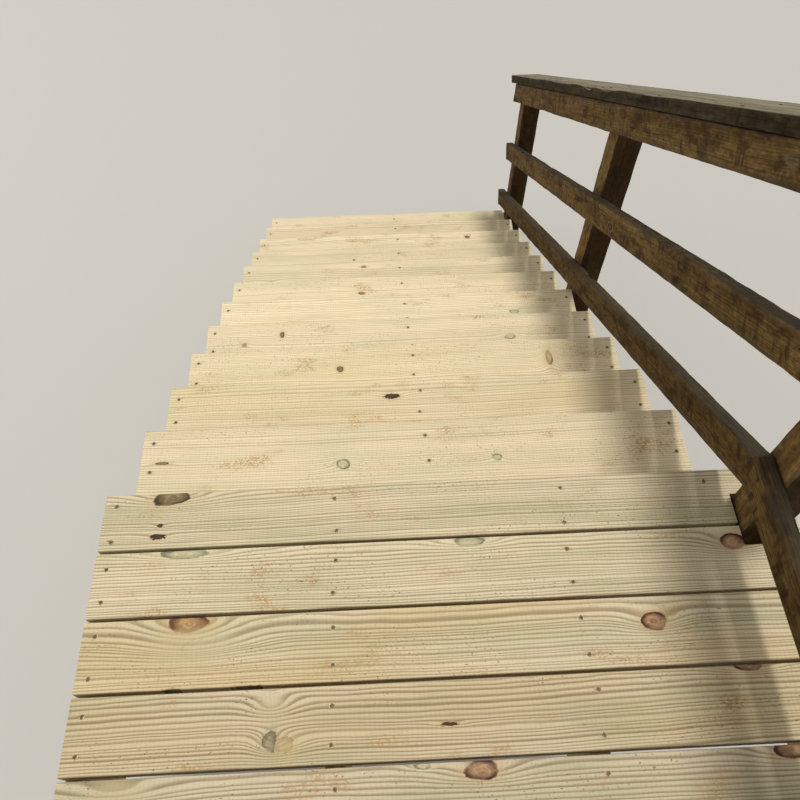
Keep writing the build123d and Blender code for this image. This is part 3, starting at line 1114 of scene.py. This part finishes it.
class CapLook(bpy.types.PropertyGroup):
    """Finish of the flat caps over the top rail."""

    brown: colour_setting("Brown", "Main colour of the sides", "#372B19")
    dark: colour_setting("Dark", "Summer wood and damp blotches", "#20180F")
    honey: colour_setting("Honey", "Streaks that have kept their colour", "#4C3F27")
    silver: colour_setting("Silver", "Wood bleached by the sun", "#8E856E")
    crack: colour_setting("Crack", "Inside of the drying cracks", "#191209")
    end_grain: colour_setting("End grain", "Sawn ends of the boards", "#4B3D2C")
    bleaching: amount_setting("Bleaching", "How silver the streaks on the upper faces are", 0.9)
    greying: amount_setting("Greying", "How silver the upper faces are between the streaks", 0.45)
    rubbing: amount_setting("Rubbing", "How pale the long edges are rubbed", 0.1)
    cracking: amount_setting("Cracking", "How much of the wood is cracked", 0.32, most=0.5)


class OldBoardWear(bpy.types.PropertyGroup):
    """How worn the old boards are."""

    rail_edges: length_setting("Rail edges", "Rounding of the rails' long edges", 5 * MM)
    post_edges: length_setting("Post edges", "Rounding of the posts' long edges", 4 * MM)
    cap_edges: length_setting("Cap edges", "Rounding of the caps' long edges", 5 * MM)
    weather: length_setting("Weather", "Unevenness of the posts and rails", 3.5 * MM)
    cap_weather: length_setting("Cap weather", "Unevenness of the caps", 1.6 * MM)


class FastenerLook(bpy.types.PropertyGroup):
    """Sizes and colours of the screws, nails and bolts."""

    screw_head: length_setting("Screw head", "Radius of a deck screw's head", 4.2 * MM)
    nail_head: length_setting("Nail head", "Radius of a nail's head", 4.4 * MM)
    bolt: length_setting("Bolt", "Radius of a carriage bolt's shank", 6.35 * MM)
    screw: colour_setting("Screw", "Tan coating", "#7E6A45")
    screw_worn: colour_setting("Screw, worn", "Where the driver rubbed the coating", "#55452D")
    # Painted shade: the dark inside of the shallow screw socket
    socket: colour_setting("Socket", "Inside of the screw's socket", "#1B1510")
    rust: colour_setting("Rust", "Main colour of an old nail", "#38271B")
    rust_dark: colour_setting("Dark rust", "Blotches on an old nail", "#211610")
    zinc: colour_setting("Zinc", "Main colour of the bolts", "#8B8E8C")
    zinc_light: colour_setting("Light zinc", "Crystals on the bolts", "#A9ACAA")
    torn: colour_setting("Torn wood", "Fibres that a screw tore up", "#E2CEA2")
    torn_dark: colour_setting("Torn wood, dark", "Their brown tips", "#7A5E3A")


class StudioLook(bpy.types.PropertyGroup):
    """The plain stage that the stairs stand on."""

    floor: colour_setting("Floor", "Colour of the floor", "#BFBBB3")
    backdrop: colour_setting("Backdrop", "What shows beyond the floor", "#CDCAC3")
    sky: colour_setting("Sky", "Colour of the soft light all round", "#F4F4F4")
    sky_zenith: amount_setting("Sky overhead", "Strength of the soft light from overhead", 0.68, most=10.0)
    sky_horizon: amount_setting("Sky low down", "Strength of the soft light from the sides", 0.29, most=10.0)
    sky_ahead: amount_setting("Sky ahead", "How much stronger the soft light is beyond the stairs", 0.35)
    key_strength: amount_setting("Key strength", "Strength of the main light from above", 2.0, most=10.0)
    key_size: bpy.props.FloatProperty(
        name="Key size", description="Spread of the main light", subtype="ANGLE", default=math.radians(9)
    )
    fill_power: bpy.props.FloatProperty(
        name="Fill power", description="Power of the soft lamp at the left", subtype="POWER", default=80.0
    )


# Operators


class STAIRS_OT_planed_boards(bpy.types.Operator):
    """Finish the treads and the landing boards as new planed pine"""

    bl_idname = "stairs.planed_boards"
    bl_label = "Planed Boards"

    def execute(self, context):
        for node in TREADS + LANDING_BOARDS:
            dress(node, planed_pine(node, context.scene.stairs_new_pine, "planed treated pine"))
        return {"FINISHED"}


class STAIRS_OT_framing(bpy.types.Operator):
    """Finish the stringers, rims, joists and left posts as framing pine"""

    bl_idname = "stairs.framing"
    bl_label = "Framing"

    def execute(self, context):
        for node in FRAMING:
            dress(node, planed_pine(node, context.scene.stairs_framing_pine, "treated framing pine"))
        return {"FINISHED"}


class STAIRS_OT_old_rails(bpy.types.Operator):
    """Model the old rails, with worn edges and a mitre over the landing's front post"""

    bl_idname = "stairs.old_rails"
    bl_label = "Old Rails"

    def execute(self, context):
        wear = context.scene.stairs_wear
        for rail in ("bottom_rail", "middle_rail", "top_rail"):
            point, downward = mitre(rail)
            stair_cuts = [(point, -downward)]
            if rail == "top_rail":
                stair_cuts.append((Vector((0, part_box("stair_top_rail")[1].y, 0)), Y))
            for node, hollows, cuts in (
                (f"stair_{rail}", HOLLOWS[rail], stair_cuts),
                (f"landing_{rail}", (), [(point, downward)]),
            ):
                piece = worn_board(node, wear.rail_edges, wear.weather, hollows, cuts)
                finish = weathered_pine(node, context.scene.stairs_old_pine, "weathered pine")
                piece.data.materials.append(finish)
        return {"FINISHED"}


class STAIRS_OT_old_posts(bpy.types.Operator):
    """Model the old posts, with their tops sawn to the caps"""

    bl_idname = "stairs.old_posts"
    bl_label = "Old Posts"

    def execute(self, context):
        wear = context.scene.stairs_wear
        under_cap, _ = mitre("cap")
        for node in OLD_POSTS:
            cuts = [(under_cap, Z), (under_cap, OFF_FLIGHT)]
            if node == "post_back_right":
                cuts = cuts[:1]
            piece = worn_board(node, wear.post_edges, wear.weather, (), cuts)
            finish = weathered_pine(node, context.scene.stairs_old_pine, "weathered pine")
            piece.data.materials.append(finish)
        return {"FINISHED"}


class STAIRS_OT_caps(bpy.types.Operator):
    """Model the flat caps, whose inner edge has lost bark and splinters"""

    bl_idname = "stairs.caps"
    bl_label = "Caps"

    def execute(self, context):
        wear = context.scene.stairs_wear
        point, downward = mitre("cap")
        for node, cut in (("stair_cap", (point, -downward)), ("landing_cap", (point, downward))):
            piece = worn_board(node, wear.cap_edges, wear.cap_weather, HOLLOWS[node], [cut])
            piece.data.materials.append(weathered_pine(node, context.scene.stairs_cap, "silvered pine"))
        return {"FINISHED"}


class STAIRS_OT_screws(bpy.types.Operator):
    """Drive the deck screws: each landing board into rims and joists, each tread into the stringers"""

    bl_idname = "stairs.screws"
    bl_label = "Deck Screws"

    def execute(self, context):
        look = context.scene.stairs_fasteners
        radius = look.screw_head
        bearers = {"landing": LANDING_BEARERS, "tread": STRINGERS}
        # How far each row of screws stands behind a board's front edge
        rows = {"landing": (33 * MM, 108 * MM), "tread": (44 * MM, 120 * MM, 193 * MM)}
        inside_stringer = 37 * MM
        from_end = 26 * MM
        draw = random.Random("deck screws")
        places = []
        for node in LANDING_BOARDS + TREADS:
            kind = node.split("_")[0]
            low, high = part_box(node)
            spots = [(middle(bearer).x, row) for bearer in bearers[kind] for row in rows[kind]]
            if node == "landing_board_1":
                spots.append((middle("stringer_right").x - inside_stringer, rows[kind][0]))
            for x, row in spots:
                x = min(max(x + draw.uniform(-7, 7) * MM, low.x + from_end), high.x - from_end)
                y = high.y - row + draw.uniform(-6, 6) * MM
                spin = draw.uniform(-0.5, 0.5) + draw.choice((0, math.pi))
                place = meet(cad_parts[node], Vector((x, y, high.z + MM)), -Z)
                if place:
                    places.append((place, Z, spin))
        steel, torn = fastener_steel(look), torn_pine(look)
        # The socket's material is painted shade
        shadow = mottled("screw socket", look.socket, look.screw, size=3.0, roughness=0.9, metallic=0.0)
        variants = 3
        for number in range(variants):
            head = scored_head(radius, 1.5 * MM, proud=0.35 * MM, recess=0.2 * MM, metal=steel, shadow=shadow)
            collar = torn_collar(1.15 * radius, 0.75 * MM, f"collar {number}", torn)
            screws = spread_copies(
                join([head, collar]), places[number::variants], f"deck_screws_{number + 1}"
            )
        return {"FINISHED"}


class STAIRS_OT_nails(bpy.types.Operator):
    """Nail the old rails and caps to their posts, and the landing's header to the joists"""

    bl_idname = "stairs.nails"
    bl_label = "Nails"

    def execute(self, context):
        look = context.scene.stairs_fasteners
        draw = random.Random("nails")
        proud = 0.9 * MM
        outside = 20 * MM
        over_cap = 30 * MM
        cap_spacing = 420 * MM
        header_rows = (45 * MM, 115 * MM, 190 * MM)
        places = []

        def drive(piece, start, outward):
            place = meet(piece, start + outside * outward, -outward)
            if place:
                place.z = min(place.z, cad_box[1].z - proud)
                places.append((place, outward, draw.uniform(0, math.tau)))

        for node in OLD_RAILS:
            along, across, _ = lay(node)
            centre, _ = extent(node)
            for nail_along, nail_across in rail_nails(node):
                start = centre + nail_along * along + nail_across * across
                start.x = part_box(node)[0].x
                drive(bpy.data.objects[f"worn_{node}"], start, -X)

        # Through the caps: a line of nails into the top rail, and every other time one into the posts' line
        rail_line, post_line = middle("stair_top_rail").x, middle("post_middle").x
        for node, outward in (("stair_cap", OFF_FLIGHT), ("landing_cap", Z)):
            along = lay(node)[0]
            centre, _ = extent(node)
            low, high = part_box(node)
            count = round((high.y - low.y) / cap_spacing)
            for number in range(count):
                y = low.y + (number + 0.5) * (high.y - low.y) / count
                start = centre + (along * ((y - centre.y) / along.y) + over_cap * outward)
                for line in (rail_line, post_line) if number % 2 else (rail_line,):
                    x = line + draw.uniform(-8, 8) * MM
                    drive(bpy.data.objects[f"worn_{node}"], Vector((x, start.y, start.z)), outward)

        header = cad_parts["landing_header"]
        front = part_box("landing_header")[1]
        for bearer in LANDING_BEARERS:
            for row in header_rows:
                x = middle(bearer).x + draw.uniform(-6, 6) * MM
                drive(header, Vector((x, front.y, front.z - row)), Y)
        head = nail_head(look.nail_head, 1.6 * MM, proud, rusty_steel(look))
        nails = spread_copies(head, places, "nails")
        return {"FINISHED"}


class STAIRS_OT_bolts(bpy.types.Operator):
    """Bolt the right stringer to the rail posts beside the flight"""

    bl_idname = "stairs.bolts"
    bl_label = "Bolts"

    def execute(self, context):
        look = context.scene.stairs_fasteners
        zinc = galvanised_steel(look)
        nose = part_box("tread_01")[1]
        stagger = 18 * MM
        outside = 0.3 * X
        heads, ends = [], []
        # Millimetres below the line of the treads' front edges, or at the foot post above the ground. Each
        # nut has come to rest at its own angle.
        for post, levels in (("post_middle", (245, 325)), ("post_foot", (60,))):
            centre = middle(post)
            for level in levels:
                height = level * MM
                if post == "post_middle":
                    height = nose.z - (centre.y - nose.y) * math.tan(PITCH) - level * MM
                shift = stagger if level == levels[-1] else -stagger
                spot = Vector((centre.x, centre.y + shift, height))
                inner = meet(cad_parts["stringer_right"], spot - outside, X)
                outer = meet(bpy.data.objects[f"worn_{post}"], spot + outside, -X)
                if inner is None or outer is None:
                    raise RuntimeError(f"no wood to bolt at {post}, {level} mm")
                heads.append((inner, -X, 0.0))
                ends.append((outer, X, 0.3 * level))
        domes = spread_copies(bolt_dome(2.2 * look.bolt, zinc), heads, "bolt_heads")
        nuts = spread_copies(nut_and_washer(look.bolt, zinc), ends, "bolt_nuts")
        return {"FINISHED"}


class STAIRS_OT_stage(bpy.types.Operator):
    """Set up the pale floor, the soft lights and the camera"""

    bl_idname = "stairs.stage"
    bl_label = "Stage"

    def execute(self, context):
        look = context.scene.stairs_studio
        matt = blank(bpy.data.materials, "matt floor paint")
        paint = add(matt.node_tree, "BsdfPrincipled", {"Base Color": look.floor, "Roughness": 0.9})
        add(matt.node_tree, "OutputMaterial", {"Surface": paint})
        floor = start_piece("plane", matt, size=60, location=(0, 0, -MM))
        floor.name = "floor"

        world = blank(bpy.data.worlds, "even light")
        tree = world.node_tree
        sky = add(tree, "TexCoord").outputs["Generated"]
        direction = add(tree, "SeparateXYZ", [sky]).outputs
        span = {"To Min": look.sky_horizon, "To Max": look.sky_zenith}
        strength = add(tree, "MapRange", {"Value": direction["Z"]} | span)
        ahead = add(tree, "Math", [direction["Y"], look.sky_ahead, 1.0], "MULTIPLY_ADD")
        strength = add(tree, "Math", [strength, ahead], "MULTIPLY")
        light = add(tree, "Background", {"Color": look.sky, "Strength": strength})
        rays = add(tree, "LightPath").outputs
        seen = add(tree, "Math", [rays["Is Camera Ray"], rays["Is Glossy Ray"]], "MAXIMUM")
        seen = add(tree, "Math", [seen, rays["Is Transmission Ray"]], "MAXIMUM")
        backdrop = add(tree, "Background", {"Color": look.backdrop, "Strength": 1.0})
        surface = add(tree, "MixShader", [seen, light, backdrop])
        add(tree, "OutputWorld", {"Surface": surface})
        context.scene.world = world

        bpy.ops.object.light_add(type="SUN")
        key = context.active_object
        key.name = "soft_key"
        key.data.energy = look.key_strength
        key.data.angle = look.key_size
        key.rotation_mode = "QUATERNION"
        towards_key = Vector((0.16, 0.10, 1.0))
        key.rotation_quaternion = towards_key.to_track_quat("Z", "Y")

        fill_place, fill_target = Vector((-7.5, 3.2, 4.0)), Vector((0.0, 0.0, 1.2))
        bpy.ops.object.light_add(type="AREA", location=fill_place)
        fill = context.active_object
        fill.name = "soft_fill"
        fill.data.energy = look.fill_power
        fill.data.size = 4.0
        fill.rotation_mode = "QUATERNION"
        fill.rotation_quaternion = (fill_place - fill_target).to_track_quat("Z", "Y")

        camera_place = (-0.1325, -1.5104, 3.3643)
        looking_down, turned_right, tilted = 57.70, 2.295, -0.445
        focal_pixels, picture_pixels = 749.95, 800
        bpy.ops.object.camera_add()
        camera = context.active_object
        camera.name = "photo_view"
        camera.data.sensor_width = 36.0
        camera.data.lens = camera.data.sensor_width * focal_pixels / picture_pixels
        camera.data.clip_start = 0.05
        turn = (
            Matrix.Rotation(math.radians(-turned_right), 4, "Z")
            @ Matrix.Rotation(math.radians(90 - looking_down), 4, "X")
            @ Matrix.Rotation(math.radians(tilted), 4, "Z")
        )
        camera.matrix_world = Matrix.Translation(camera_place) @ turn
        context.scene.camera = camera
        context.scene.view_settings.view_transform = "Standard"
        return {"FINISHED"}


class STAIRS_PT_panel(bpy.types.Panel):
    """The operators of this file, in the order in which they run"""

    bl_idname = "STAIRS_PT_panel"
    bl_label = "Wooden Deck Stairs"
    bl_space_type = "VIEW_3D"
    bl_region_type = "UI"
    bl_category = "Stairs"

    def draw(self, context):
        for step in OPERATORS:
            self.layout.operator(step.bl_idname)


SETTINGS = {
    "stairs_new_pine": NewPineLook,
    "stairs_framing_pine": FramingPineLook,
    "stairs_old_pine": OldPineLook,
    "stairs_cap": CapLook,
    "stairs_wear": OldBoardWear,
    "stairs_fasteners": FastenerLook,
    "stairs_studio": StudioLook,
}
OPERATORS = (
    STAIRS_OT_planed_boards,
    STAIRS_OT_framing,
    STAIRS_OT_old_rails,
    STAIRS_OT_old_posts,
    STAIRS_OT_caps,
    STAIRS_OT_screws,
    STAIRS_OT_nails,
    STAIRS_OT_bolts,
    STAIRS_OT_stage,
)


def register():
    """Make the settings, the operators and the panel known to Blender."""
    for cls in (*SETTINGS.values(), *OPERATORS, STAIRS_PT_panel):
        bpy.utils.register_class(cls)
    for name, cls in SETTINGS.items():
        setattr(bpy.types.Scene, name, bpy.props.PointerProperty(type=cls))


def unregister():
    """Take them away again."""
    for name in SETTINGS:
        delattr(bpy.types.Scene, name)
    for cls in (STAIRS_PT_panel, *OPERATORS, *SETTINGS.values()):
        bpy.utils.unregister_class(cls)


def main():
    """Dress the whole stairs."""
    register()
    bpy.ops.stairs.planed_boards()
    bpy.ops.stairs.framing()
    bpy.ops.stairs.old_rails()
    bpy.ops.stairs.old_posts()
    bpy.ops.stairs.caps()
    bpy.ops.stairs.screws()
    bpy.ops.stairs.nails()
    bpy.ops.stairs.bolts()
    bpy.ops.stairs.stage()


if __name__ == "__main__":
    main()
